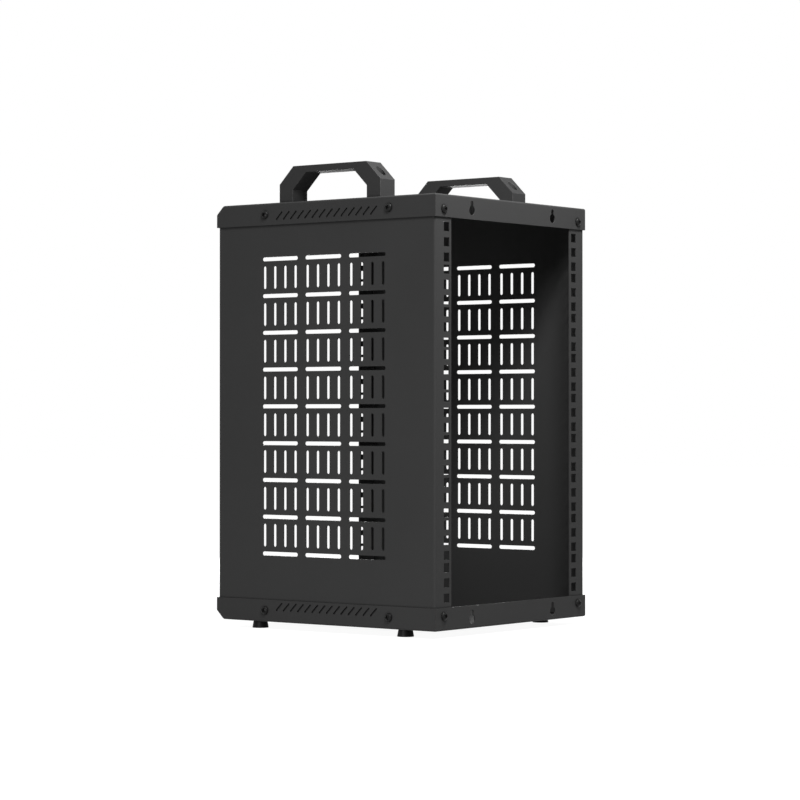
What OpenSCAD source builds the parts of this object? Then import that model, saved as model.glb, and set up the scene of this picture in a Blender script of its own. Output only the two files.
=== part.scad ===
// Ten inch open frame rack for a wall or a desk: two folded, pierced side panels held between
// two tray-shaped covers, with two bridge handles on top and four rubber feet below.
// The bevelled front faces -Y, the keyhole end that goes to the wall faces +Y, and +Z is up.
// The origin is on the floor, under the middle of the side panels. Sizes are in millimetres.

/* [Rack bay] */
// Height of the bay, in rack units
rack_units = 9; // [4:1:14]
// Height of one rack unit
unit_h = 44.45; // [44:0.05:46]
// Distance between the two columns of rack holes
hole_span = 236.525; // [232:0.025:300]
// Side of a square rack hole
rack_hole = 9.5; // [7:0.1:10.5]
// From the edge of a rack unit to the centre of its first hole
hole_edge = 6.35; // [6:0.05:7]
// From the middle of a rack hole to the free edge of its rail
rail_lip = 8.25; // [7:0.25:12]
// From the middle of a rack hole to the outside of its side panel
rail_root = 19.75; // [17:0.25:45]
// Plain rail between the end rack unit and the cover
rail_end = 3.5; // [1:0.5:20]

/* [Sheet metal] */
// Thickness of the sheet
sheet = 1.2; // [0.8:0.1:2]
// Play between two sheets that nest
sheet_play = 0.2; // [0.1:0.05:0.5]
// Depth of the side panels
frame_d = 298.5; // [260:0.5:450]
// Inside radius of the side panels' bends
panel_bend = 1.3; // [0.6:0.1:3]
// Inside radius of the covers' bends
cover_bend = 0.8; // [0.4:0.1:2]
// Height of the covers' flanges
cover_flange = 24; // [22:0.5:40]
// Bevel along the front edge of each cover
bevel = 10; // [4:0.5:14]

/* [Side vents] */
// Length of a level vent slot
vent_len = 50; // [30:1:80]
// Width of a level vent slot
vent_w = 4.2; // [3:0.1:8]
// Plain sheet between two columns of vents
vent_gap = 10; // [6:0.5:40]
// Distance between two rows of level slots
vent_row = 40; // [30:0.5:80]
// Upright slots between two rows, in one column
upright_count = 4; // [2:1:5]
// Width of an upright slot
upright_w = 3.9; // [2:0.1:6]
// Plain sheet above and below an upright slot
upright_web = 5.5; // [3:0.1:9]
// From the end of a level slot to the nearest upright slot
upright_inset = 1.5; // [0:0.1:5]
// Least plain panel at each end of the vents
vent_margin_y = 60; // [40:1:100]
// Least plain rail height above and below the vents
vent_margin_z = 38; // [20:1:80]
// Centre of the vents, from mid-depth towards the wall
vent_shift_y = -1; // [-10:0.5:10]
// Centre of the vents, above mid-height
vent_shift_z = 6.6; // [-10:0.1:10]

/* [Cover slits] */
// Length of a slanted slit
slit_len = 12.5; // [6:0.5:14]
// Width of a slanted slit
slit_w = 2; // [1:0.1:3]
// Lean of a slit from upright, its top towards the wall
slit_lean = 45; // [0:1:50]
// Distance between two slits
slit_pitch = 10; // [6:0.5:20]
// Slits of the top cover, from its face
top_slit_drop = 14.5; // [10:0.1:16]
// Slits of the bottom cover, from its face
bottom_slit_drop = 16.7; // [10:0.1:17]
// Least distance from the end slits to the side screws
slit_clear = 20; // [16:0.5:50]

/* [Wall keyholes] */
// Distance between the two keyholes
keyhole_span = 150; // [60:1:190]
// Diameter of the round entry, which passes the head of a wall screw
keyhole_entry = 10; // [8:0.5:12]
// Width of the narrow upper slot, which holds the neck of a wall screw
keyhole_slot = 4.8; // [3:0.1:6]
// How far the rack drops from the entry to the slot
keyhole_drop = 7.6; // [6:0.1:9]

/* [Handles] */
// Length of a handle
handle_len = 139; // [120:0.5:170]
// Width of a handle
handle_w = 25; // [16:0.5:30]
// Height of a handle above the cover
handle_h = 39; // [36:0.5:60]
// Thickness of a handle's leg, along its length
handle_leg = 18.5; // [15:0.5:24]
// Thickness of the grip bar
handle_bar = 7.2; // [5:0.1:10]
// Outer bevel between leg and bar
handle_bevel = 19.2; // [8:0.1:22]
// Inner bevel between leg and bar
finger_bevel = 18.5; // [4:0.1:22]
// From the side of the cover to the handle
handle_edge = 6; // [2:0.5:40]
// Solid leg under the head of a handle screw
handle_seat = 8; // [4:0.5:12]
// Handles, slits and side screws, from mid-depth towards the wall
fixing_shift = 4; // [-5:0.1:10]

/* [Feet] */
// Height of a foot
foot_h = 8; // [6:0.5:20]
// Diameter of a foot at the floor
foot_d = 18; // [14:0.5:28]
// Diameter of a foot at the cover
foot_top_d = 15; // [11:0.5:24]
// From the side of the cover to the centre of a foot
foot_inset_x = 15; // [11:0.5:60]
// From the end of the cover to the centre of a foot
foot_inset_y = 50.5; // [20:0.5:90]
// Gap between the floor and the head of a foot screw
foot_head_sink = 1.4; // [0.5:0.1:2]

/* [Frame screws] */
// Thread of the frame and handle screws
screw_d = 5; // [4:0.5:6]
// Diameter of a pan head
head_d = 9.2; // [8:0.1:12]
// Height of a pan head
head_h = 3.4; // [2.5:0.1:5]
// Straight side of a pan head, below its dome
head_rim = 1.1; // [0.6:0.1:2]
// Distance between the two screws on each side of a cover
side_screw_span = 170.5; // [140:0.5:200]
// Side screws, from the face of the cover
side_screw_drop = 12.4; // [11:0.1:14]
// Wall end screws, from the outside of the side panel
wall_screw_inset = 13.4; // [11:0.1:16]
// Wall end screws, from the face of the cover
wall_screw_drop = 15.5; // [12:0.1:17]
// Diameter of a clinch nut's body
clinch_d = 9.5; // [8:0.1:12]
// Height of a clinch nut's body
clinch_h = 2; // [1.5:0.1:4]
// Diameter of the clinch nut's neck in the panel
clinch_neck = 6.4; // [6:0.1:7.5]

/* [Handle and foot screws] */
// Diameter of a handle screw's head
cap_d = 8.5; // [7:0.1:10]
// Height of a handle screw's head
cap_h = 5; // [3:0.1:6]
// Width across flats of the socket in a handle screw's head
socket_af = 4; // [3:0.5:5]
// Width across flats of a handle nut
nut_af = 8; // [7:0.1:10]
// Height of a handle nut
nut_h = 4; // [2.5:0.1:5]
// Thread of the foot screws
foot_screw_d = 4; // [3:0.5:5]
// Diameter of a foot screw's head
foot_head_d = 7; // [6:0.1:8]
// Height of a foot screw's head
foot_head_h = 2.6; // [2:0.1:3]
// Straight side of a foot screw's head, below its dome
foot_head_rim = 0.9; // [0.5:0.1:1.2]
// Width across flats of a foot nut
foot_nut_af = 7; // [6:0.1:8]
// Height of a foot nut
foot_nut_h = 3.2; // [2:0.1:4]

/* [Fits] */
// Extra diameter of a hole that a screw passes through
hole_play = 0.5; // [0.2:0.1:0.8]
// Extra diameter of a thread or a press seat over what it holds
thread_play = 0.1; // [0.05:0.05:0.2]
// Extra diameter of a recess over the screw head in it
recess_play = 1.5; // [0.2:0.1:2]
// How far a screw stands past its nut
screw_tail = 2; // [0.5:0.5:4]

/* [Hidden] */

$fn = 64;
// Overlap that lets a cut pass clean through a face
over = 1;
// Run of a 45 degree bevel for each unit of its depth
diagonal = sqrt(2);
// Cross recess, as shares of the width and height of the screw head it is in
cross_len = 1 / 2;
cross_w = 1 / 8;
cross_depth = 1 / 2;

powder_coat = [0.2, 0.2, 0.21];
nylon_black = [0.19, 0.19, 0.2];
rubber_black = [0.06, 0.06, 0.06];
screw_black = [0.25, 0.25, 0.26];
zinc_grey = [0.6, 0.61, 0.63];

// How many items fit in a row, where the first takes no room
function row_count(room, pitch) = floor(room / pitch) + 1;

// Frame: the rails carry the rack holes, and the covers nest over the side panels
bay_w = hole_span - 2 * rail_lip;
frame_w = hole_span + 2 * rail_root;
nest = sheet + sheet_play;
cover_w = frame_w + 2 * nest;
cover_d = frame_d + 2 * nest;
bay_h = rack_units * unit_h;
body_h = bay_h + 2 * (rail_end + cover_flange);
base_z = foot_h;
top_z = base_z + body_h;
mid_z = (base_z + top_z) / 2;

// Side panels: they stop short of the covers' bends, and their front corners clear the bevel
panel_gap = sheet + cover_bend + sheet_play;
panel_h = body_h - 2 * panel_gap;
panel_corner = bevel + nest * diagonal - nest - panel_gap;

// Vents: as many rows and columns as the panel has room for, upright slots in the bands between rows
vent_pitch = vent_len + vent_gap;
vent_cols = row_count(frame_d - 2 * vent_margin_y - vent_len, vent_pitch);
vent_rows = row_count(bay_h - 2 * vent_margin_z, vent_row);
vent_bands = vent_rows - 1;
upright_len = vent_row - vent_w - 2 * upright_web;
upright_pitch = (vent_len - 2 * upright_inset - upright_w) / (upright_count - 1);

// Slits: as many as fit between the side screws
slit_count = row_count(side_screw_span - 2 * slit_clear, slit_pitch);

// Fixing places
handle_x = cover_w / 2 - handle_edge - handle_w / 2;
handle_bolt_y = (handle_len - handle_leg) / 2;
foot_x = cover_w / 2 - foot_inset_x;
foot_y = cover_d / 2 - foot_inset_y;
foot_recess = foot_head_h + foot_head_sink;
wall_screw_x = frame_w / 2 - wall_screw_inset;

// Screw lengths
pan_len = 2 * sheet + sheet_play + clinch_h + screw_tail;
cap_len = handle_seat + sheet + nut_h + screw_tail;
foot_screw_len = foot_h - foot_recess + sheet + foot_nut_h + screw_tail;

// Height of a cover's face, and of its slits from there: level 1 is the top, -1 is the bottom
function face_z(level) = level > 0 ? top_z : base_z;
function slit_drop(level) = level > 0 ? top_slit_drop : bottom_slit_drop;

function unit(v) = v / norm(v);
function half_angle(before, corner, after) =
    acos(unit(before - corner) * unit(after - corner)) / 2;

// Where the arc that rounds a corner meets its two edges
function arc_ends(before, corner, after, r) =
    let (reach = r / tan(half_angle(before, corner, after)))
    [corner + reach * unit(before - corner), corner + reach * unit(after - corner)];

// Centre of the arc that rounds a corner
function arc_centre(before, corner, after, r) =
    let (inward = unit(unit(before - corner) + unit(after - corner)))
    corner + inward * r / sin(half_angle(before, corner, after));

// What rounding takes off a sharp corner
module corner_waste(before, corner, after, r) {
    ends = arc_ends(before, corner, after, r);
    centre = arc_centre(before, corner, after, r);
    difference() {
        polygon([ends[0], corner + over * unit(corner - centre), ends[1]]);
        translate(centre)
            circle(r = r);
    }
}

// Convex outline with a true arc at each corner that has a radius
module rounded_outline(points, radii) {
    count = len(points);
    difference() {
        polygon(points);
        for (i = [0:count - 1])
            if (radii[i] > 0)
                corner_waste(
                    points[(i + count - 1) % count], points[i], points[(i + 1) % count], radii[i]
                );
    }
}

// Slot with round ends, its length along the first axis
module round_slot(length, width) {
    square([length - width, width], center = true);
    for (end = [-1, 1])
        translate([end * (length - width) / 2, 0])
            circle(d = width);
}

// Outline drawn in depth and height, made solid along X
module along_x(length) {
    rotate([90, 0, 90])
        linear_extrude(length, center = true)
            children();
}

// Outline drawn in width and height, made solid along Y
module along_y(length) {
    rotate([90, 0, 0])
        linear_extrude(length, center = true)
            children();
}

// Side view of a cover, its face at height 0, pulled in by an inset and run on below by a skirt
module cover_side_outline(inset, skirt) {
    bend = sheet + cover_bend - inset;
    half_d = cover_d / 2 - inset;
    cut = bevel - inset * (2 - diagonal);
    rounded_outline(
        [
            [-half_d, -cover_flange - skirt], [-half_d, -inset - cut], [cut - half_d, -inset],
            [half_d, -inset], [half_d, -cover_flange - skirt]
        ],
        [0, bend, bend, bend, 0]
    );
}

// End view of a cover, on the same terms
module cover_end_outline(inset, skirt) {
    bend = sheet + cover_bend - inset;
    half_w = cover_w / 2 - inset;
    rounded_outline(
        [
            [-half_w, -cover_flange - skirt], [-half_w, -inset],
            [half_w, -inset], [half_w, -cover_flange - skirt]
        ],
        [0, bend, bend, 0]
    );
}

module cover_block(inset, skirt) {
    intersection() {
        along_x(cover_w - 2 * inset) cover_side_outline(inset, skirt);
        along_y(cover_d - 2 * inset) cover_end_outline(inset, skirt);
    }
}

// Folded tray, its face at height 0 and its flanges hanging below
module cover_tray() {
    difference() {
        cover_block(0, 0);
        cover_block(sheet, over);
    }
}

// Row of slanted slits, in depth and height from the middle of the row
module slit_row() {
    for (i = [0:slit_count - 1])
        translate([(i - (slit_count - 1) / 2) * slit_pitch, 0])
            rotate(90 - slit_lean)
                round_slot(slit_len, slit_w);
}

// Keyhole with its narrow end up, centred on its whole height
module keyhole() {
    rise = (keyhole_entry + keyhole_slot) / 2 + keyhole_drop;
    translate([0, keyhole_entry / 2 - rise / 2]) {
        circle(d = keyhole_entry);
        translate([-keyhole_slot / 2, 0])
            square([keyhole_slot, keyhole_drop]);
        translate([0, keyhole_drop])
            circle(d = keyhole_slot);
    }
}

// Slits, screw holes and keyholes in the flanges of one cover
module flange_cuts(level) {
    z = face_z(level);
    translate([0, fixing_shift, z - level * slit_drop(level)])
        along_x(cover_w + 2 * over)
            slit_row();
    for (end = [-1, 1])
        translate([0, fixing_shift + end * side_screw_span / 2, z - level * side_screw_drop])
            along_x(cover_w + 2 * over)
                circle(d = screw_d + hole_play);
    for (side = [-1, 1])
        translate([0, cover_d / 2, z]) {
            translate([side * keyhole_span / 2, 0, -level * cover_flange / 2])
                along_y(2 * sheet + 2 * over)
                    keyhole();
            translate([side * wall_screw_x, 0, -level * wall_screw_drop])
                along_y(2 * sheet + 2 * over)
                    circle(d = screw_d + hole_play);
        }
}

// The two handle screws of one handle
module at_handle_bolts(side) {
    for (end = [-1, 1])
        translate([side * handle_x, fixing_shift + end * handle_bolt_y, top_z])
            children();
}

// The two feet at one end of the frame
module at_feet(end) {
    for (side = [-1, 1])
        translate([side * foot_x, end * foot_y, 0])
            children();
}

// The two side screws of one cover on one side, pointing out from the cover
module at_side_screws(side, level, out) {
    for (end = [-1, 1])
        translate([
            side * out,
            fixing_shift + end * side_screw_span / 2,
            face_z(level) - level * side_screw_drop
        ])
            rotate([0, side * 90, 0])
                children();
}

// The two wall end screws of one cover, pointing out towards the wall
module at_wall_screws(level, out) {
    for (side = [-1, 1])
        translate([side * wall_screw_x, out, face_z(level) - level * wall_screw_drop])
            rotate([-90, 0, 0])
                children();
}

module top_cover() {
    color(powder_coat)
        difference() {
            translate([0, 0, top_z])
                cover_tray();
            flange_cuts(1);
            for (side = [-1, 1])
                at_handle_bolts(side)
                    cylinder(h = 2 * sheet + 2 * over, d = screw_d + hole_play, center = true);
        }
}

module bottom_cover() {
    color(powder_coat)
        difference() {
            translate([0, 0, base_z])
                mirror([0, 0, 1])
                    cover_tray();
            flange_cuts(-1);
            for (end = [-1, 1])
                at_feet(end)
                    translate([0, 0, base_z - over])
                        cylinder(h = sheet + 2 * over, d = foot_screw_d + hole_play);
        }
}

// Plan of a side panel: a channel with a rail folded in at each end
module panel_plan() {
    x = frame_w / 2;
    y = frame_d / 2;
    bend = sheet + panel_bend;
    difference() {
        rounded_outline(
            [[bay_w / 2, -y], [x, -y], [x, y], [bay_w / 2, y]],
            [0, bend, bend, 0]
        );
        rounded_outline(
            [
                [bay_w / 2 - over, sheet - y], [x - sheet, sheet - y],
                [x - sheet, y - sheet], [bay_w / 2 - over, y - sheet]
            ],
            [0, panel_bend, panel_bend, 0]
        );
    }
}

// Side view of a panel, its front corners cut for the bevels
module panel_outline() {
    y = frame_d / 2;
    z = panel_h / 2;
    polygon([
        [-y, panel_corner - z], [panel_corner - y, -z], [y, -z],
        [y, z], [panel_corner - y, z], [-y, z - panel_corner]
    ]);
}

// Rows of level slots with upright slots between them
module vent_pattern() {
    for (col = [0:vent_cols - 1])
        translate([(col - (vent_cols - 1) / 2) * vent_pitch, 0]) {
            for (row = [0:vent_rows - 1])
                translate([0, (row - (vent_rows - 1) / 2) * vent_row])
                    round_slot(vent_len, vent_w);
            for (band = [0:vent_bands - 1])
                for (i = [0:upright_count - 1])
                    translate([
                        (i - (upright_count - 1) / 2) * upright_pitch,
                        (band - (vent_bands - 1) / 2) * vent_row
                    ])
                        rotate(90)
                            round_slot(upright_len, upright_w);
        }
}

// One column of square rack holes: three to a rack unit
module rack_holes() {
    for (u = [0:rack_units - 1])
        for (place = [hole_edge, unit_h / 2, unit_h - hole_edge])
            translate([hole_span / 2, u * unit_h + place - bay_h / 2])
                square(rack_hole, center = true);
}

// Panel on the +X side
module side_panel() {
    neck_hole = clinch_neck + thread_play;
    difference() {
        intersection() {
            translate([0, 0, mid_z - panel_h / 2])
                linear_extrude(panel_h)
                    panel_plan();
            translate([0, 0, mid_z])
                along_x(frame_w + 2 * over)
                    panel_outline();
        }
        translate([frame_w / 2, vent_shift_y, mid_z + vent_shift_z])
            along_x(2 * sheet + 2 * over)
                vent_pattern();
        translate([0, 0, mid_z])
            along_y(frame_d + 2 * over)
                rack_holes();
        for (level = [-1, 1]) {
            at_side_screws(1, level, frame_w / 2)
                cylinder(h = 2 * sheet + 2 * over, d = neck_hole, center = true);
            at_wall_screws(level, frame_d / 2)
                cylinder(h = 2 * sheet + 2 * over, d = neck_hole, center = true);
        }
    }
}

module right_side_panel() {
    color(powder_coat)
        side_panel();
}

module left_side_panel() {
    color(powder_coat)
        mirror([1, 0, 0])
            side_panel();
}

// Side view of a handle, standing at height 0
module handle_outline() {
    y = handle_len / 2;
    inner_y = y - handle_leg;
    inner_z = handle_h - handle_bar;
    polygon([
        [-y, 0], [-y, handle_h - handle_bevel], [handle_bevel - y, handle_h],
        [y - handle_bevel, handle_h], [y, handle_h - handle_bevel], [y, 0],
        [inner_y, 0], [inner_y, inner_z - finger_bevel], [inner_y - finger_bevel, inner_z],
        [finger_bevel - inner_y, inner_z], [-inner_y, inner_z - finger_bevel], [-inner_y, 0]
    ]);
}

// Bridge handle with a counterbored screw hole down each leg
module bridge_handle(side) {
    color(nylon_black)
        difference() {
            translate([side * handle_x, fixing_shift, top_z])
                along_x(handle_w)
                    handle_outline();
            at_handle_bolts(side) {
                translate([0, 0, -over])
                    cylinder(h = handle_seat + 2 * over, d = screw_d + hole_play);
                translate([0, 0, handle_seat])
                    cylinder(h = handle_h, d = cap_d + recess_play);
            }
        }
}

module left_handle() {
    bridge_handle(-1);
}

module right_handle() {
    bridge_handle(1);
}

// Six-sided prism, measured across its flats
module hex_prism(across, height) {
    cylinder(h = height, d = across / cos(30), $fn = 6);
}

// Handle screw with a six-sided socket, seated at height 0
module cap_screw() {
    translate([0, 0, -cap_len])
        cylinder(h = cap_len, d = screw_d);
    difference() {
        cylinder(h = cap_h, d = cap_d);
        translate([0, 0, cap_h / 2])
            hex_prism(socket_af, cap_h);
    }
}

// Nut that hangs under height 0
module plain_nut(across, height, thread) {
    translate([0, 0, -height])
        difference() {
            hex_prism(across, height);
            translate([0, 0, -over])
                cylinder(h = height + 2 * over, d = thread + thread_play);
        }
}

module handle_screws(side) {
    color(screw_black)
        at_handle_bolts(side)
            translate([0, 0, handle_seat])
                cap_screw();
}

module handle_nuts(side) {
    color(zinc_grey)
        at_handle_bolts(side)
            translate([0, 0, -sheet])
                plain_nut(nut_af, nut_h, screw_d);
}

module left_handle_screws() {
    handle_screws(-1);
}

module right_handle_screws() {
    handle_screws(1);
}

module left_handle_nuts() {
    handle_nuts(-1);
}

module right_handle_nuts() {
    handle_nuts(1);
}

// Rubber foot, wider at the floor, with a recess for its screw head
module foot(side, end) {
    recess_r = (foot_head_d + recess_play) / 2;
    hole_r = (foot_screw_d + hole_play) / 2;
    color(rubber_black)
        translate([side * foot_x, end * foot_y, 0])
            rotate_extrude()
                polygon([
                    [recess_r, 0], [foot_d / 2, 0], [foot_top_d / 2, foot_h],
                    [hole_r, foot_h], [hole_r, foot_recess], [recess_r, foot_recess]
                ]);
}

module front_left_foot() {
    foot(-1, -1);
}

module front_right_foot() {
    foot(1, -1);
}

module rear_left_foot() {
    foot(-1, 1);
}

module rear_right_foot() {
    foot(1, 1);
}

// Low domed head that stands on height 0, with a cross recess in its top
module pan_head(width, height, rim) {
    dome = height - rim;
    dome_r = (width * width / 4 + dome * dome) / (2 * dome);
    recess_len = cross_len * width;
    recess_w = cross_w * width;
    recess_depth = cross_depth * height;
    difference() {
        intersection() {
            cylinder(h = height, d = width);
            translate([0, 0, height - dome_r])
                sphere(r = dome_r);
        }
        for (turn = [0, 90])
            rotate(turn)
                translate([-recess_len / 2, -recess_w / 2, height - recess_depth])
                    cube([recess_len, recess_w, height]);
    }
}

// Screw whose head stands on height 0 and whose shank runs down from there
module pan_screw(thread, length, width, height, rim) {
    pan_head(width, height, rim);
    translate([0, 0, -length])
        cylinder(h = length, d = thread);
}

module foot_screws(end) {
    color(screw_black)
        at_feet(end)
            translate([0, 0, foot_recess])
                mirror([0, 0, 1])
                    pan_screw(foot_screw_d, foot_screw_len, foot_head_d, foot_head_h, foot_head_rim);
}

module foot_nuts(end) {
    color(zinc_grey)
        at_feet(end)
            translate([0, 0, base_z + sheet + foot_nut_h])
                plain_nut(foot_nut_af, foot_nut_h, foot_screw_d);
}

module front_foot_screws() {
    foot_screws(-1);
}

module rear_foot_screws() {
    foot_screws(1);
}

module front_foot_nuts() {
    foot_nuts(-1);
}

module rear_foot_nuts() {
    foot_nuts(1);
}

module frame_screw() {
    pan_screw(screw_d, pan_len, head_d, head_h, head_rim);
}

// Clinch nut: a neck pressed into the panel from inside, the outside of the panel at height 0
module clinch_nut() {
    difference() {
        union() {
            translate([0, 0, -sheet])
                cylinder(h = sheet, d = clinch_neck);
            translate([0, 0, -sheet - clinch_h])
                cylinder(h = clinch_h, d = clinch_d);
        }
        translate([0, 0, -sheet - clinch_h - over])
            cylinder(h = sheet + clinch_h + 2 * over, d = screw_d + thread_play);
    }
}

module side_screws(side, level) {
    color(screw_black)
        at_side_screws(side, level, cover_w / 2)
            frame_screw();
}

module side_nuts(side, level) {
    color(zinc_grey)
        at_side_screws(side, level, frame_w / 2)
            clinch_nut();
}

module wall_screws(level) {
    color(screw_black)
        at_wall_screws(level, cover_d / 2)
            frame_screw();
}

module wall_nuts(level) {
    color(zinc_grey)
        at_wall_screws(level, frame_d / 2)
            clinch_nut();
}

module top_left_screws() {
    side_screws(-1, 1);
}

module top_right_screws() {
    side_screws(1, 1);
}

module bottom_left_screws() {
    side_screws(-1, -1);
}

module bottom_right_screws() {
    side_screws(1, -1);
}

module top_wall_screws() {
    wall_screws(1);
}

module bottom_wall_screws() {
    wall_screws(-1);
}

module top_left_clinch_nuts() {
    side_nuts(-1, 1);
}

module top_right_clinch_nuts() {
    side_nuts(1, 1);
}

module bottom_left_clinch_nuts() {
    side_nuts(-1, -1);
}

module bottom_right_clinch_nuts() {
    side_nuts(1, -1);
}

module top_wall_clinch_nuts() {
    wall_nuts(1);
}

module bottom_wall_clinch_nuts() {
    wall_nuts(-1);
}

top_cover();
bottom_cover();
left_side_panel();
right_side_panel();
left_handle();
right_handle();
left_handle_screws();
right_handle_screws();
left_handle_nuts();
right_handle_nuts();
front_left_foot();
front_right_foot();
rear_left_foot();
rear_right_foot();
front_foot_screws();
rear_foot_screws();
front_foot_nuts();
rear_foot_nuts();
top_left_screws();
top_right_screws();
bottom_left_screws();
bottom_right_screws();
top_wall_screws();
bottom_wall_screws();
top_left_clinch_nuts();
top_right_clinch_nuts();
bottom_left_clinch_nuts();
bottom_right_clinch_nuts();
top_wall_clinch_nuts();
bottom_wall_clinch_nuts();
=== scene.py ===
import math
import random

import bmesh
import bpy
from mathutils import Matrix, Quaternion, Vector


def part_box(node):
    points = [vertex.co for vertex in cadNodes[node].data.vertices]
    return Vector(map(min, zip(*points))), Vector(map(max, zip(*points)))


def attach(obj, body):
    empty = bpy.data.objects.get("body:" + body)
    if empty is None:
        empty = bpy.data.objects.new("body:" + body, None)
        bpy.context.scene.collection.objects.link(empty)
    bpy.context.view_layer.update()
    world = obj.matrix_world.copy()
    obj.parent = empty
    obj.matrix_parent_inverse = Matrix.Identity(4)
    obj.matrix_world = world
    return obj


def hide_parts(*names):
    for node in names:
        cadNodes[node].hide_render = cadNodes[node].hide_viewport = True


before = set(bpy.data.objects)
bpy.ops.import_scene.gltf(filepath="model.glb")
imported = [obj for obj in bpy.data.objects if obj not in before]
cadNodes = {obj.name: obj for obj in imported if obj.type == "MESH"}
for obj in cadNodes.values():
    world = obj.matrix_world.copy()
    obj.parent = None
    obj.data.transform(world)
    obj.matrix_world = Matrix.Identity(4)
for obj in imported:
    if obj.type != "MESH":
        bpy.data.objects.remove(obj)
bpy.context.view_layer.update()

scene = bpy.context.scene
mm = 0.001
print("frame loaded:", len(cadNodes), "nodes")


# node helpers


def addNode(tree, kind, **values):
    node = tree.nodes.new(kind)
    for key, value in values.items():
        setattr(node, key, value)
    return node


def give(tree, socket, value):  # an output is linked, a plain value is set
    if isinstance(value, bpy.types.NodeSocket):
        tree.links.new(value, socket)
    else:
        socket.default_value = value


def fill(tree, node, **sockets):  # sockets by name
    for label, value in sockets.items():
        give(tree, node.inputs[label.replace("_", " ")], value)
    return node


def feed(tree, node, *values):  # sockets in their order
    for socket, value in zip(node.inputs, values):
        give(tree, socket, value)
    return node.outputs


def mathNode(tree, operation, *values):
    return feed(tree, addNode(tree, "ShaderNodeMath", operation=operation), *values)[0]


def vectorNode(tree, operation, *values):
    return feed(tree, addNode(tree, "ShaderNodeVectorMath", operation=operation), *values)


def remap(tree, value, low, high, outLow=0.0, outHigh=1.0):
    node = addNode(tree, "ShaderNodeMapRange")
    fill(tree, node, Value=value, From_Min=low, From_Max=high, To_Min=outLow, To_Max=outHigh)
    return node.outputs[0]


def weigh(tree, first, second, share):  # so much of the first, the rest of the second
    return mathNode(tree, "MULTIPLY_ADD", first, share, mathNode(tree, "MULTIPLY", second, 1 - share))


colourMix = {"factor": 0, "first": 6, "second": 7, "result": 2}  # where the mix node keeps its colours


def blendColour(tree, factor, first, second):
    node = addNode(tree, "ShaderNodeMix", data_type="RGBA")
    give(tree, node.inputs[colourMix["factor"]], factor)
    give(tree, node.inputs[colourMix["first"]], first)
    give(tree, node.inputs[colourMix["second"]], second)
    return node.outputs[colourMix["result"]]


def noise(tree, position, scale, **values):
    node = addNode(tree, "ShaderNodeTexNoise")
    return fill(tree, node, Vector=position, Scale=scale, **values).outputs["Fac"]


def newGroup(name, inputs, outputs, kind="ShaderNodeTree"):
    group = bpy.data.node_groups.new(name, kind)
    for side, sockets in (("INPUT", inputs), ("OUTPUT", outputs)):
        for label, socketKind in sockets.items():
            group.interface.new_socket(name=label, in_out=side, socket_type="NodeSocket" + socketKind)
    return group, addNode(group, "NodeGroupInput").outputs, addNode(group, "NodeGroupOutput").inputs


# shader groups


def newGrain(name, *scales):  # a grain runs between two tones and two finishes
    inputs = {"Position": "Vector"} | dict.fromkeys(scales, "Float")
    inputs |= {"Dark": "Color", "Light": "Color", "Smooth": "Float", "Rough": "Float"}
    return newGroup(name, inputs, {"Colour": "Color", "Roughness": "Float", "Height": "Float"})


coatPattern = {
    "speckle": {"Detail": 2.0, "Roughness": 0.6}, "peel": {"Detail": 1.0}, "cloud": {"Detail": 3.0},
    "speckleTone": 0.5, "toneFrom": 0.3, "toneTo": 0.7, "peelHeight": 0.7,
}


def makeCoatGrain():  # cured powder: fine speckle on soft orange peel, with faint clouds of tone
    group, given, result = newGrain("coatGrain", "Speckle Scale", "Peel Scale", "Cloud Scale")
    place = given["Position"]
    speckle = noise(group, place, given["Speckle Scale"], **coatPattern["speckle"])
    peel = noise(group, place, given["Peel Scale"], **coatPattern["peel"])
    cloud = noise(group, place, given["Cloud Scale"], **coatPattern["cloud"])
    tone = weigh(group, speckle, cloud, coatPattern["speckleTone"])
    shade = remap(group, tone, coatPattern["toneFrom"], coatPattern["toneTo"])
    give(group, result["Colour"], blendColour(group, shade, given["Dark"], given["Light"]))
    give(group, result["Roughness"], remap(group, shade, 0.0, 1.0, given["Smooth"], given["Rough"]))
    give(group, result["Height"], weigh(group, peel, speckle, coatPattern["peelHeight"]))
    return group


mouldPattern = {
    "softness": 0.6, "valleyAt": 0.75, "topAt": 0.1, "topTone": 0.4,
    "cloud": {"Detail": 4.0, "Roughness": 0.6},
}


def makeMouldGrain():  # spark-eroded mould texture: small pebbles with worn tops
    group, given, result = newGrain("mouldGrain", "Pebble Scale", "Cloud Scale")
    place = given["Position"]
    pebbles = addNode(group, "ShaderNodeTexVoronoi", feature="SMOOTH_F1")
    fill(group, pebbles, Vector=place, Scale=given["Pebble Scale"], Smoothness=mouldPattern["softness"])
    top = remap(group, pebbles.outputs["Distance"], mouldPattern["valleyAt"], mouldPattern["topAt"])
    cloud = noise(group, place, given["Cloud Scale"], **mouldPattern["cloud"])
    tone = weigh(group, top, cloud, mouldPattern["topTone"])
    give(group, result["Colour"], blendColour(group, tone, given["Dark"], given["Light"]))
    give(group, result["Roughness"], remap(group, top, 0.0, 1.0, given["Rough"], given["Smooth"]))
    give(group, result["Height"], top)
    return group


turnedPattern = {
    "blotch": {"Detail": 4.0, "Roughness": 0.65},
    "ringTone": 0.08, "toneFrom": 0.3, "toneTo": 0.7, "ringHeight": 0.5,
}


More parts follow.
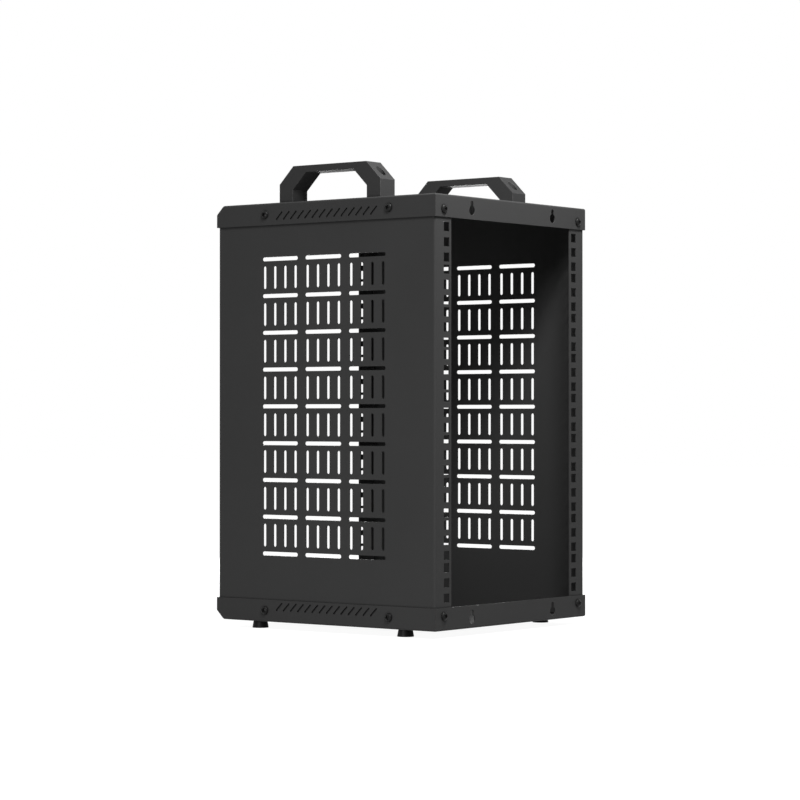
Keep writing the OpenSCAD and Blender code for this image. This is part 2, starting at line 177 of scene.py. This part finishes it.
def makeTurnedMetal():  # fine rings left by the lathe, and blotches in the plating
    group, given, result = newGrain("turnedMetal", "Ring Scale", "Blotch Scale")
    place = given["Position"]
    flat = vectorNode(group, "MULTIPLY", place, (1, 1, 0))["Vector"]
    radius = vectorNode(group, "LENGTH", flat)["Value"]
    rings = mathNode(group, "SINE", mathNode(group, "MULTIPLY", radius, given["Ring Scale"]))
    blotch = noise(group, place, given["Blotch Scale"], **turnedPattern["blotch"])
    tone = mathNode(group, "MULTIPLY_ADD", rings, turnedPattern["ringTone"], blotch)
    shade = remap(group, tone, turnedPattern["toneFrom"], turnedPattern["toneTo"])
    give(group, result["Colour"], blendColour(group, shade, given["Dark"], given["Light"]))
    give(group, result["Roughness"], remap(group, shade, 0.0, 1.0, given["Rough"], given["Smooth"]))
    give(group, result["Height"], mathNode(group, "MULTIPLY", rings, turnedPattern["ringHeight"]))
    return group


edgeWearAndHighlightPattern = {
    "samples": 6, "flatAt": 0.98, "edgeAt": 0.78,
    "patch": {"Detail": 3.0, "Roughness": 0.6}, "patchFrom": 0.35, "patchTo": 0.7,
}


def makeEdgeWearAndHighlight():  # worn edges, and on the handles a painted highlight along the edges: a rounded normal, and a mask that breaks up along the edge
    inputs = {"Position": "Vector"}
    inputs |= dict.fromkeys(("Rounded Face", "Radius", "Patch Scale", "Amount"), "Float")
    group, given, result = newGroup("edgeWearAndHighlight", inputs, {"Mask": "Float", "Normal": "Vector"})
    rounded = addNode(group, "ShaderNodeBevel", samples=edgeWearAndHighlightPattern["samples"])
    normal = fill(group, rounded, Radius=given["Radius"]).outputs["Normal"]
    flat = addNode(group, "ShaderNodeNewGeometry").outputs["True Normal"]
    alike = vectorNode(group, "DOT_PRODUCT", normal, flat)["Value"]
    edge = remap(group, alike, edgeWearAndHighlightPattern["flatAt"], edgeWearAndHighlightPattern["edgeAt"])
    edge = mathNode(group, "MAXIMUM", edge, given["Rounded Face"])
    patches = noise(group, given["Position"], given["Patch Scale"], **edgeWearAndHighlightPattern["patch"])
    patches = remap(group, patches, edgeWearAndHighlightPattern["patchFrom"], edgeWearAndHighlightPattern["patchTo"])
    wearAndHighlight = mathNode(group, "MULTIPLY", mathNode(group, "MULTIPLY", edge, patches), given["Amount"])
    give(group, result["Mask"], wearAndHighlight)
    give(group, result["Normal"], normal)
    return group


paintedSeamShadePattern = {"samples": 8}


def makePaintedSeamShade():  # painted shade: darkens where ambient occlusion finds one sheet lapping another, in slits and under flanges
    inputs = dict.fromkeys(("Reach", "Open", "Closed", "Amount"), "Float")
    group, given, result = newGroup("seamGrime", inputs, {"Mask": "Float"})
    shelter = addNode(group, "ShaderNodeAmbientOcclusion", samples=paintedSeamShadePattern["samples"])
    fill(group, shelter, Distance=given["Reach"])
    shut = remap(group, shelter.outputs["AO"], given["Open"], given["Closed"])
    give(group, result["Mask"], mathNode(group, "MULTIPLY", shut, given["Amount"]))
    return group


coatGrain = makeCoatGrain()
mouldGrain = makeMouldGrain()
turnedMetal = makeTurnedMetal()
edgeWearAndHighlight = makeEdgeWearAndHighlight()
seamGrime = makePaintedSeamShade()
print("shader groups built")


# finishes


def grey(level, tint=0.0):  # tint above 0 leans to blue
    return (level * (1 - tint), level, level * (1 + tint), 1)


powderCoatLook = {
    "grain": {
        "Speckle Scale": 2400.0, "Peel Scale": 520.0, "Cloud Scale": 7.0,
        "Dark": grey(0.037), "Light": grey(0.044), "Smooth": 0.46, "Rough": 0.56,
    },
    "edge": {"Radius": 0.35 * mm, "Patch Scale": 160.0, "Amount": 0.45},
    # the seam values and their dark tone paint shade into seams, slits and under flanges
    "seam": {"Reach": 2.5 * mm, "Open": 0.95, "Closed": 0.4, "Amount": 0.85}, "paintedSeamShadeTone": grey(0.008),
    "wearAndHighlight": grey(0.07), "metallic": 0.0, "specular": 0.06, "bump": 0.22, "depth": 0.05 * mm,
}
handleNylonLook = {
    "grain": {
        "Pebble Scale": 1500.0, "Cloud Scale": 30.0,
        "Dark": grey(0.036), "Light": grey(0.044), "Smooth": 0.55, "Rough": 0.65,
    },
    # the handle's lighter edge tone is a painted highlight: it stands in for the light its rounded edges
    # catch
    "edge": {"Radius": 0.4 * mm, "Patch Scale": 120.0, "Amount": 1.0},
    "wearAndHighlight": grey(0.09), "metallic": 0.0, "specular": 0.04, "bump": 0.1, "depth": 0.04 * mm,
}
footRubberLook = {
    "grain": {
        "Pebble Scale": 1100.0, "Cloud Scale": 90.0,
        "Dark": grey(0.003), "Light": grey(0.006), "Smooth": 0.34, "Rough": 0.48,
    },
    "edge": {"Radius": 0.3 * mm, "Patch Scale": 200.0, "Amount": 0.3},
    "wearAndHighlight": grey(0.02), "metallic": 0.0, "specular": 0.12, "bump": 0.3, "depth": 0.05 * mm,
}
blackScrewLook = {
    "grain": {
        "Ring Scale": 9000.0, "Blotch Scale": 420.0,
        "Dark": grey(0.005), "Light": grey(0.009), "Smooth": 0.28, "Rough": 0.38,
    },
    "edge": {"Radius": 0.12 * mm, "Patch Scale": 500.0, "Amount": 0.1},
    "wearAndHighlight": grey(0.05), "metallic": 0.0, "specular": 0.12, "bump": 0.12, "depth": 0.02 * mm,
}
zincNutLook = {
    "grain": {
        "Ring Scale": 7000.0, "Blotch Scale": 380.0,
        "Dark": grey(0.42, 0.02), "Light": grey(0.56, 0.03), "Smooth": 0.24, "Rough": 0.4,
    },
    "edge": {"Radius": 0.12 * mm, "Patch Scale": 500.0, "Amount": 0.5},
    "wearAndHighlight": grey(0.7), "metallic": 1.0, "specular": 0.5, "bump": 0.12, "depth": 0.02 * mm,
}


def useGroup(tree, group, values):
    return fill(tree, addNode(tree, "ShaderNodeGroup", node_tree=group), **values)


def makeFinish(name, grainGroup, look, ownPlace=False, moulded=False):
    finish = bpy.data.materials.new(name)
    finish.use_nodes = True
    tree = finish.node_tree
    if ownPlace:  # each fastener carries its own place, so the rings run round its axis
        position = addNode(tree, "ShaderNodeAttribute", attribute_name="ownPlace").outputs["Vector"]
    else:
        position = addNode(tree, "ShaderNodeTexCoord").outputs["Object"]
    grain = useGroup(tree, grainGroup, look["grain"] | {"Position": position})
    edge = useGroup(tree, edgeWearAndHighlight, look["edge"] | {"Position": position})
    if moulded:  # these edges are really round, so the faces say where they are
        rounded = addNode(tree, "ShaderNodeAttribute", attribute_name="roundedFace")
        fill(tree, edge, Rounded_Face=rounded.outputs["Fac"])
    # edges take a lighter tone: wear, and on the handles a painted highlight
    colour = blendColour(tree, edge.outputs["Mask"], grain.outputs["Colour"], look["wearAndHighlight"])
    # painted shade: the coat is darkened in seams, slits and under flanges, where occlusion finds them
    if "seam" in look:
        seam = useGroup(tree, seamGrime, look["seam"])
        colour = blendColour(tree, seam.outputs["Mask"], colour, look["paintedSeamShadeTone"])
    bump = addNode(tree, "ShaderNodeBump")
    fill(
        tree, bump, Strength=look["bump"], Distance=look["depth"],
        Height=grain.outputs["Height"], Normal=edge.outputs["Normal"],
    )
    fill(
        tree, tree.nodes["Principled BSDF"], Base_Color=colour, Roughness=grain.outputs["Roughness"],
        Metallic=look["metallic"], Specular_IOR_Level=look["specular"], Normal=bump.outputs["Normal"],
    )
    return finish


powderCoat = makeFinish("powderCoat", coatGrain, powderCoatLook)
handleNylon = makeFinish("handleNylon", mouldGrain, handleNylonLook, moulded=True)
footRubber = makeFinish("footRubber", mouldGrain, footRubberLook, moulded=True)
blackScrew = makeFinish("blackScrew", turnedMetal, blackScrewLook, ownPlace=True)
zincNut = makeFinish("zincNut", turnedMetal, zincNutLook, ownPlace=True)
print("finishes built")


# folded sheets: the solids are right as they are


def paint(piece, finish):
    piece.data.materials.clear()
    piece.data.materials.append(finish)


for nodeName in ("top_cover", "bottom_cover", "left_side_panel", "right_side_panel"):
    paint(cadNodes[nodeName], powderCoat)
print("sheets painted")


# mesh helpers


def addObject(name, data):
    piece = bpy.data.objects.new(name, data)
    scene.collection.objects.link(piece)
    return piece


def meshFrom(work, name):
    mesh = bpy.data.meshes.new(name)
    work.to_mesh(mesh)
    work.free()
    return mesh


def smoothTo(mesh, degrees):
    mesh.shade_smooth()
    mesh.set_sharp_from_angle(angle=math.radians(degrees))


def bakeModifiers(piece):  # what the modifiers make becomes the plain mesh
    bpy.context.view_layer.update()
    shown = piece.evaluated_get(bpy.context.evaluated_depsgraph_get())
    finished = bpy.data.meshes.new_from_object(shown)
    piece.modifiers.clear()
    piece.data = finished


def seat(piece, slotName, *replaced):
    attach(piece, "root")
    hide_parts(*replaced)


# moulded pieces: copies of the solids with the mould's rounded edges

handleMould = {"edge": 0.5 * mm, "segments": 3, "angle": 25.0}
footMould = {"edge": 0.3 * mm, "segments": 3, "angle": 25.0}
mouldClean = {"merge": 0.002 * mm, "flatten": 0.5, "smooth": 180, "flatWeight": 100}


def roundedCopy(nodeName, pieceName, mould, finish, slotName):
    work = bmesh.new()
    work.from_mesh(cadNodes[nodeName].data)
    flatten = math.radians(mouldClean["flatten"])
    bmesh.ops.remove_doubles(work, verts=work.verts, dist=mouldClean["merge"])
    bmesh.ops.dissolve_limit(work, angle_limit=flatten, verts=work.verts, edges=work.edges)
    piece = addObject(pieceName, meshFrom(work, pieceName))
    smoothTo(piece.data, mouldClean["smooth"])
    for index in range(2):  # the second slot is for the bevel
        piece.data.materials.append(finish)
    bevel = piece.modifiers.new("mouldEdge", "BEVEL")
    bevel.width = mould["edge"]
    bevel.segments = mould["segments"]
    bevel.limit_method = "ANGLE"
    bevel.angle_limit = math.radians(mould["angle"])
    bevel.use_clamp_overlap = True
    bevel.material = 1  # marks the new faces
    flats = piece.modifiers.new("flatFaces", "WEIGHTED_NORMAL")  # the rounding doesn't shade into the flats
    flats.weight = mouldClean["flatWeight"]
    flats.keep_sharp = True
    bakeModifiers(piece)
    rounded = piece.data.attributes.new("roundedFace", "FLOAT", "FACE")
    for item, face in zip(rounded.data, piece.data.polygons):
        item.value = face.material_index
        face.material_index = 0
    paint(piece, finish)
    seat(piece, slotName, nodeName)


for nodeName, pieceName in (("left_handle", "leftHandle"), ("right_handle", "rightHandle")):
    roundedCopy(nodeName, pieceName, handleMould, handleNylon, "handle_nylon")
for nodeName, pieceName in (
    ("front_left_foot", "frontLeftFoot"), ("front_right_foot", "frontRightFoot"),
    ("rear_left_foot", "rearLeftFoot"), ("rear_right_foot", "rearRightFoot"),
):
    roundedCopy(nodeName, pieceName, footMould, footRubber, "foot_rubber")
print("handles and feet rounded")


# blanks for the fasteners, each along Z with its seat at height 0

blankSteps = {"round": 48, "barrel": 64, "dome": 8}
sharpFrom = {"screw": 35, "nut": 30}
recessTaper = {"floorLength": 0.62, "floorWidth": 0.75, "lipLength": 1.18, "lipWidth": 1.2}
nutChamfer = {"start": 0.97, "slope": 30}


def lathe(name, profile, steps, ring=False):  # a ring's profile is a closed loop clear of the axis
    work = bmesh.new()
    turns = [2 * math.pi * i / steps for i in range(steps)]
    rows = []
    for radius, height in profile:
        if radius == 0:
            rows.append([work.verts.new((0, 0, height))] * steps)
        else:
            rows.append([work.verts.new((radius * math.cos(a), radius * math.sin(a), height)) for a in turns])
    pairs = list(zip(rows, rows[1:]))
    if ring:
        pairs.append((rows[-1], rows[0]))
    for low, high in pairs:
        for i in range(steps):
            j = (i + 1) % steps
            corners = dict.fromkeys((low[i], low[j], high[j], high[i]))  # only three at the axis
            work.faces.new(list(corners))
    bmesh.ops.recalc_face_normals(work, faces=work.faces)
    return addObject(name, meshFrom(work, name))


def prism(name, lowPoints, highPoints, low, high):
    work = bmesh.new()
    bottom = [work.verts.new((x, y, low)) for x, y in lowPoints]
    top = [work.verts.new((x, y, high)) for x, y in highPoints]
    work.faces.new(bottom)
    work.faces.new(top)
    for i in range(len(bottom)):
        j = (i + 1) % len(bottom)
        work.faces.new((bottom[i], bottom[j], top[j], top[i]))
    bmesh.ops.recalc_face_normals(work, faces=work.faces)
    return addObject(name, meshFrom(work, name))


def carve(blank, operation, *tools):
    for tool in tools:
        cut = blank.modifiers.new(tool.name, "BOOLEAN")
        cut.operation = operation
        cut.solver = "EXACT"
        cut.object = tool
    bakeModifiers(blank)
    for tool in tools:
        bpy.data.objects.remove(tool)


def rectangle(length, width, turned):
    x, y = length / 2, width / 2
    corners = [(-x, -y), (x, -y), (x, y), (-x, y)]
    return [(-y, x) for x, y in corners] if turned else corners


def cornerOf(across):  # a hexagon's corner radius
    return across / 2 / math.cos(math.pi / 6)


def hexagon(across):
    radius = cornerOf(across)
    return [(radius * math.cos(math.pi * i / 3), radius * math.sin(math.pi * i / 3)) for i in range(6)]


def shankProfile(size):  # from the tip of the shank up to the seat
    root = size["thread"] / 2 - size["threadDepth"]
    tip = size["threadDepth"]
    return [(0, -size["length"]), (root - tip, -size["length"]), (root, tip - size["length"]), (root, 0)]


def panBlank(name, size):
    soft, head, rise, rim = size["soft"], size["head"] / 2, size["rise"], size["rim"]
    dome = rise - rim
    domeRadius = (head * head + dome * dome) / (2 * dome)
    spread = math.asin(head / domeRadius)
    arc = [spread * (1 - i / blankSteps["dome"]) for i in range(1, blankSteps["dome"])]
    profile = shankProfile(size) + [(head - soft, 0), (head, soft), (head, rim - soft)]
    profile += [(domeRadius * math.sin(a), rise - domeRadius * (1 - math.cos(a))) for a in arc]
    blank = lathe(name, profile + [(0, rise)], blankSteps["round"])
    length, width = size["crossLength"], size["crossWidth"]
    arms = []
    for turned in (False, True):  # the arms of the recess narrow as they go down
        floor = rectangle(recessTaper["floorLength"] * length, recessTaper["floorWidth"] * width, turned)
        lip = rectangle(recessTaper["lipLength"] * length, recessTaper["lipWidth"] * width, turned)
        arms.append(prism(name + "Arm", floor, lip, rise - size["crossDepth"], rise + rim))
    carve(blank, "DIFFERENCE", *arms)
    smoothTo(blank.data, sharpFrom["screw"])
    return blank


def capBlank(name, size):
    soft, head, rise = size["soft"], size["head"] / 2, size["rise"]
    profile = shankProfile(size) + [(head - soft, 0), (head, soft)]
    profile += [(head, rise - soft), (head - soft, rise), (0, rise)]
    blank = lathe(name, profile, blankSteps["round"])
    outline = hexagon(size["socket"])
    socket = prism(name + "Socket", outline, outline, rise - size["socketDepth"], rise + soft)
    carve(blank, "DIFFERENCE", socket)
    smoothTo(blank.data, sharpFrom["screw"])
    return blank


def hexNutBlank(name, size):  # hangs below height 0
    flat, corner = size["across"] / 2, cornerOf(size["across"])
    drop = (corner - flat) * math.tan(math.radians(nutChamfer["slope"]))
    face = flat * nutChamfer["start"]
    bore, lead, low = size["thread"] / 2, size["lead"], -size["height"]
    mouth = bore + 2 * lead
    barrel = [(0, low), (face, low), (corner, low + drop), (corner, -drop), (face, 0), (0, 0)]
    hole = [(0, low - lead), (mouth, low - lead), (bore, low + lead), (bore, -lead), (mouth, lead), (0, lead)]
    outline = hexagon(size["across"])
    blank = prism(name, outline, outline, low, 0)
    carve(blank, "INTERSECT", lathe(name + "Barrel", barrel, blankSteps["barrel"]))
    carve(blank, "DIFFERENCE", lathe(name + "Hole", hole, blankSteps["round"]))
    smoothTo(blank.data, sharpFrom["nut"])
    return blank


def clinchNutBlank(name, size):  # neck in the sheet, body behind it
    neck, body, bore, soft = size["neck"] / 2, size["body"] / 2, size["thread"] / 2, size["soft"]
    under, back = -size["sheet"], -size["sheet"] - size["height"]
    profile = [
        (bore, -soft), (bore + soft, 0), (neck, 0), (neck, under), (body - soft, under), (body, under - soft),
        (body, back + 2 * soft), (body - 2 * soft, back), (bore + 2 * soft, back), (bore, back + 2 * soft),
    ]
    blank = lathe(name, profile, blankSteps["round"], ring=True)
    smoothTo(blank.data, sharpFrom["nut"])
    return blank


# rows of fasteners: one tree sets blanks on seats, and can wind a thread on each

threadShape = {"steps": 28, "sides": 4}


def threadOf(size):  # the thread runs up from the tip
    depth = size["threadDepth"]
    return {
        "Thread Radius": size["thread"] / 2 - depth, "Thread Depth": depth, "Thread Pitch": size["pitch"],
        "Thread Length": size["wound"], "Thread End": 2 * depth - size["length"],
    }


def windThread(tree, given, shape):
    radius, length = given["Thread Radius"], given["Thread Length"]
    coil = addNode(tree, "GeometryNodeCurveSpiral")
    fill(
        tree, coil, Resolution=threadShape["steps"], Height=length, Start_Radius=radius, End_Radius=radius,
        Rotations=mathNode(tree, "DIVIDE", length, given["Thread Pitch"]),
    )
    upright = addNode(tree, "GeometryNodeSetCurveNormal", mode="Z_UP")
    fill(tree, upright, Curve=coil.outputs[0])
    ridge = addNode(tree, "GeometryNodeCurvePrimitiveCircle")
    fill(tree, ridge, Resolution=threadShape["sides"], Radius=given["Thread Depth"])
    thread = addNode(tree, "GeometryNodeCurveToMesh")
    fill(tree, thread, Curve=upright.outputs[0], Profile_Curve=ridge.outputs[0], Fill_Caps=True)
    lower = fill(tree, addNode(tree, "ShaderNodeCombineXYZ"), Z=given["Thread End"])
    moved = addNode(tree, "GeometryNodeTransform")
    fill(tree, moved, Geometry=thread.outputs[0], Translation=lower.outputs[0])
    both = addNode(tree, "GeometryNodeJoinGeometry")
    for piece in (moved.outputs[0], shape):
        tree.links.new(piece, both.inputs[0])
    return both.outputs[0]


def makeFastenerTree(name, threadLabels=()):
    inputs = {"Geometry": "Geometry", "Blank": "Object", "Finish": "Material"}
    inputs |= dict.fromkeys(threadLabels, "Float")
    tree, given, result = newGroup(name, inputs, {"Geometry": "Geometry"}, "GeometryNodeTree")
    blank = fill(tree, addNode(tree, "GeometryNodeObjectInfo"), Object=given["Blank"])
    shape = blank.outputs["Geometry"]
    if threadLabels:
        shape = windThread(tree, given, shape)
    position = addNode(tree, "GeometryNodeInputPosition").outputs[0]
    place = addNode(tree, "GeometryNodeStoreNamedAttribute", data_type="FLOAT_VECTOR", domain="POINT")
    fill(tree, place, Geometry=shape, Name="ownPlace", Value=position)
    aim = fill(tree, addNode(tree, "GeometryNodeInputNamedAttribute", data_type="FLOAT_VECTOR"), Name="aim")
    turn = feed(tree, addNode(tree, "FunctionNodeEulerToRotation"), aim.outputs["Attribute"])
    rows = addNode(tree, "GeometryNodeInstanceOnPoints")
    fill(tree, rows, Points=given["Geometry"], Instance=place.outputs["Geometry"], Rotation=turn[0])
    real = feed(tree, addNode(tree, "GeometryNodeRealizeInstances"), rows.outputs[0])
    coat = addNode(tree, "GeometryNodeSetMaterial")
    fill(tree, coat, Geometry=real[0], Material=given["Finish"])
    give(tree, result["Geometry"], coat.outputs[0])
    return tree


threadInputs = ("Thread Radius", "Thread Depth", "Thread Pitch", "Thread Length", "Thread End")
screwTree = makeFastenerTree("screwRow", threadInputs)
nutTree = makeFastenerTree("nutRow")
turnSeed = 9
turnOf = random.Random(turnSeed)  # each fastener stops at a turn of its own


def seatsAt(nodeName, spread, out, reach, rise):  # the two seats of a node, read from its box
    low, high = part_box(nodeName)
    axis = max(range(3), key=lambda i: abs(out[i]))
    spots = []
    for end in (low[spread] + reach, high[spread] - reach):
        spot = (low + high) / 2
        spot[spread] = end
        spot[axis] = (high[axis] - rise) if out[axis] > 0 else (low[axis] + rise)
        spots.append((spot, out))
    return spots


def setFasteners(pieceName, tree, blank, finish, slotName, nodes, reach, rise, thread):
    seats = []
    for nodeName, (spread, out) in nodes.items():
        seats += seatsAt(nodeName, spread, out, reach, rise)
    points = bpy.data.meshes.new(pieceName + "Seats")
    points.from_pydata([spot for spot, out in seats], [], [])
    aims = points.attributes.new("aim", "FLOAT_VECTOR", "POINT")
    for item, (spot, out) in zip(aims.data, seats):
        spin = Quaternion((0, 0, 1), turnOf.uniform(0, math.pi))
        item.vector = (Vector(out).to_track_quat("Z", "Y") @ spin).to_euler()
    piece = addObject(pieceName, points)
    rows = piece.modifiers.new(tree.name, "NODES")
    rows.node_group = tree
    keys = {item.name: item.identifier for item in tree.interface.items_tree if item.in_out == "INPUT"}
    for label, value in ({"Blank": blank, "Finish": finish} | thread).items():
        rows[keys[label]] = value
    bakeModifiers(piece)
    bpy.data.objects.remove(blank)
    seat(piece, slotName, *nodes)


left, right, wall, up, down = (-1, 0, 0), (1, 0, 0), (0, 1, 0), (0, 0, 1), (0, 0, -1)
alongX, alongY = 0, 1
frameSeats = {  # which way each pair is spread, and which way it faces
    "top_left": (alongY, left), "top_right": (alongY, right),
    "bottom_left": (alongY, left), "bottom_right": (alongY, right),
    "top_wall": (alongX, wall), "bottom_wall": (alongX, wall),
}

panSize = {
    "thread": 5 * mm, "threadDepth": 0.3 * mm, "pitch": 0.8 * mm, "wound": 4 * mm, "length": 6.6 * mm,
    "head": 9.2 * mm, "rise": 3.4 * mm, "rim": 1.2 * mm, "soft": 0.25 * mm,
    "crossLength": 5.3 * mm, "crossWidth": 1.5 * mm, "crossDepth": 2.3 * mm,
}
setFasteners(
    "frameScrews", screwTree, panBlank("panBlank", panSize), blackScrew, "black_screw",
    {corner + "_screws": seats for corner, seats in frameSeats.items()},
    panSize["head"] / 2, panSize["rise"], threadOf(panSize),
)

capSize = {
    "thread": 5 * mm, "threadDepth": 0.3 * mm, "pitch": 0.8 * mm, "wound": 6 * mm, "length": 15.2 * mm,
    "head": 8.5 * mm, "rise": 5 * mm, "soft": 0.35 * mm, "socket": 4 * mm, "socketDepth": 2.5 * mm,
}
setFasteners(
    "handleScrews", screwTree, capBlank("capBlank", capSize), blackScrew, "black_screw",
    dict.fromkeys(("left_handle_screws", "right_handle_screws"), (alongY, up)),
    capSize["head"] / 2, capSize["rise"], threadOf(capSize),
)

footScrewSize = {
    "thread": 4 * mm, "threadDepth": 0.25 * mm, "pitch": 0.7 * mm, "wound": 5 * mm, "length": 10.4 * mm,
    "head": 7 * mm, "rise": 2.6 * mm, "rim": 0.9 * mm, "soft": 0.12 * mm,
    "crossLength": 3.5 * mm, "crossWidth": 0.9 * mm, "crossDepth": 1.3 * mm,
}
setFasteners(
    "footScrews", screwTree, panBlank("footScrewBlank", footScrewSize), blackScrew, "black_screw",
    dict.fromkeys(("front_foot_screws", "rear_foot_screws"), (alongX, down)),
    footScrewSize["head"] / 2, footScrewSize["rise"], threadOf(footScrewSize),
)

handleNutSize = {"across": 8 * mm, "height": 4 * mm, "thread": 5.1 * mm, "lead": 0.3 * mm}
setFasteners(
    "handleNuts", nutTree, hexNutBlank("handleNutBlank", handleNutSize), zincNut, "zinc_nut",
    dict.fromkeys(("left_handle_nuts", "right_handle_nuts"), (alongY, up)),
    handleNutSize["across"] / 2, 0, {},
)

footNutSize = {"across": 7 * mm, "height": 3.2 * mm, "thread": 4.1 * mm, "lead": 0.25 * mm}
setFasteners(
    "footNuts", nutTree, hexNutBlank("footNutBlank", footNutSize), zincNut, "zinc_nut",
    dict.fromkeys(("front_foot_nuts", "rear_foot_nuts"), (alongX, down)),
    cornerOf(footNutSize["across"]), 0, {},
)

clinchSize = {
    "neck": 6.4 * mm, "body": 9.5 * mm, "thread": 5.1 * mm, "height": 2 * mm, "sheet": 1.2 * mm,
    "soft": 0.2 * mm,
}
setFasteners(
    "clinchNuts", nutTree, clinchNutBlank("clinchNutBlank", clinchSize), powderCoat, "powder_coat",
    {corner + "_clinch_nuts": seats for corner, seats in frameSeats.items()},
    clinchSize["body"] / 2, 0, {},
)
print("fasteners set")


# studio

studio = {
    "floorSize": 16.0, "floorDrop": 0.1 * mm, "floorTone": 0.3, "floorShown": 0.2,
    "glowNear": 0.94, "glowFar": 1.0, "fadeFrom": 0.3, "fadeTo": 0.9,
    "worldLight": 0.06, "worldShown": 1.0,
    "lamps": {
        "highLamp": {"at": (1.12, 1.38, 2.09), "aim": (0.0, 0.1, 0.2), "size": 0.8, "power": 43.0},
        "nearLamp": {"at": (0.1, 0.42, 0.95), "aim": (0.0, 0.15, 0.25), "size": 0.12, "power": 6.4},
        "topLamp": {"at": (0.5, 0.1, 1.2), "aim": (0.49, 0.1, 0.0), "size": 0.5, "power": 1.3},
        "lowLamp": {"at": (1.0, 0.15, 0.14), "aim": (0.0, 0.05, 0.02), "size": 0.24, "power": 2.6},
        "backLamp": {"at": (-1.0, -0.9, 0.5), "aim": (0.0, 0.0, 0.2), "size": 0.7, "power": 20.0},
    },
}


def emptyTree(owner):
    owner.use_nodes = True
    owner.node_tree.nodes.clear()
    return owner.node_tree


def shader(tree, kind, **values):
    return fill(tree, addNode(tree, kind), **values).outputs[0]


def splitRays(tree, light, shown, output):  # rays that see the background itself meet the white one
    path = addNode(tree, "ShaderNodeLightPath").outputs
    seen = mathNode(tree, "MAXIMUM", path["Is Camera Ray"], path["Is Glossy Ray"])
    seen = mathNode(tree, "MAXIMUM", seen, path["Is Transmission Ray"])
    either = feed(tree, addNode(tree, "ShaderNodeMixShader"), seen, light, shown)
    fill(tree, addNode(tree, output), Surface=either[0])


def makeFloor():
    work = bmesh.new()
    bmesh.ops.create_grid(work, x_segments=1, y_segments=1, size=studio["floorSize"] / 2)
    floor = addObject("floor", meshFrom(work, "floor"))
    floor.location.z = -studio["floorDrop"]
    paper = bpy.data.materials.new("floorPaper")
    tree = emptyTree(paper)
    place = addNode(tree, "ShaderNodeTexCoord").outputs["Object"]
    away = vectorNode(tree, "LENGTH", place)["Value"]  # the paper whitens away from the object
    fade = remap(tree, away, studio["fadeFrom"], studio["fadeTo"], studio["glowNear"], studio["glowFar"])
    light = shader(tree, "ShaderNodeBsdfDiffuse", Color=grey(studio["floorTone"]))
    shown = shader(tree, "ShaderNodeBsdfDiffuse", Color=grey(studio["floorShown"]))
    glow = shader(tree, "ShaderNodeEmission", Color=grey(1.0), Strength=fade)
    white = feed(tree, addNode(tree, "ShaderNodeAddShader"), shown, glow)
    splitRays(tree, light, white[0], "ShaderNodeOutputMaterial")
    paint(floor, paper)


def makeWorld():
    world = bpy.data.worlds.new("whiteRoom")
    scene.world = world
    tree = emptyTree(world)
    light = shader(tree, "ShaderNodeBackground", Color=grey(1.0), Strength=studio["worldLight"])
    shown = shader(tree, "ShaderNodeBackground", Color=grey(1.0), Strength=studio["worldShown"])
    splitRays(tree, light, shown, "ShaderNodeOutputWorld")


def lookAlong(piece, direction):
    piece.rotation_euler = direction.to_track_quat("-Z", "Y").to_euler()


def makeLamps():
    for name, values in studio["lamps"].items():
        data = bpy.data.lights.new(name, "AREA")
        data.shape = "SQUARE"
        data.size = values["size"]
        data.energy = values["power"]
        lamp = addObject(name, data)
        lamp.location = values["at"]
        lookAlong(lamp, Vector(values["aim"]) - Vector(values["at"]))
        lamp.visible_camera = False


makeFloor()
makeWorld()
makeLamps()
print("studio lit")


# camera at the photograph's place

shot = {
    "at": (2.3913, 1.83885, 0.23345), "along": (-0.79222, -0.61023, 0.00527),
    "lens": 122.27, "sensor": 36.0, "reach": 60.0,
}
cameraData = bpy.data.cameras.new("shotCamera")
cameraData.lens = shot["lens"]
cameraData.sensor_fit = "HORIZONTAL"
cameraData.sensor_width = shot["sensor"]
cameraData.clip_end = shot["reach"]
camera = addObject("shotCamera", cameraData)
camera.location = shot["at"]
lookAlong(camera, Vector(shot["along"]))
scene.camera = camera
scene.view_settings.view_transform = "Standard"
print("camera set")

print("scene finished")
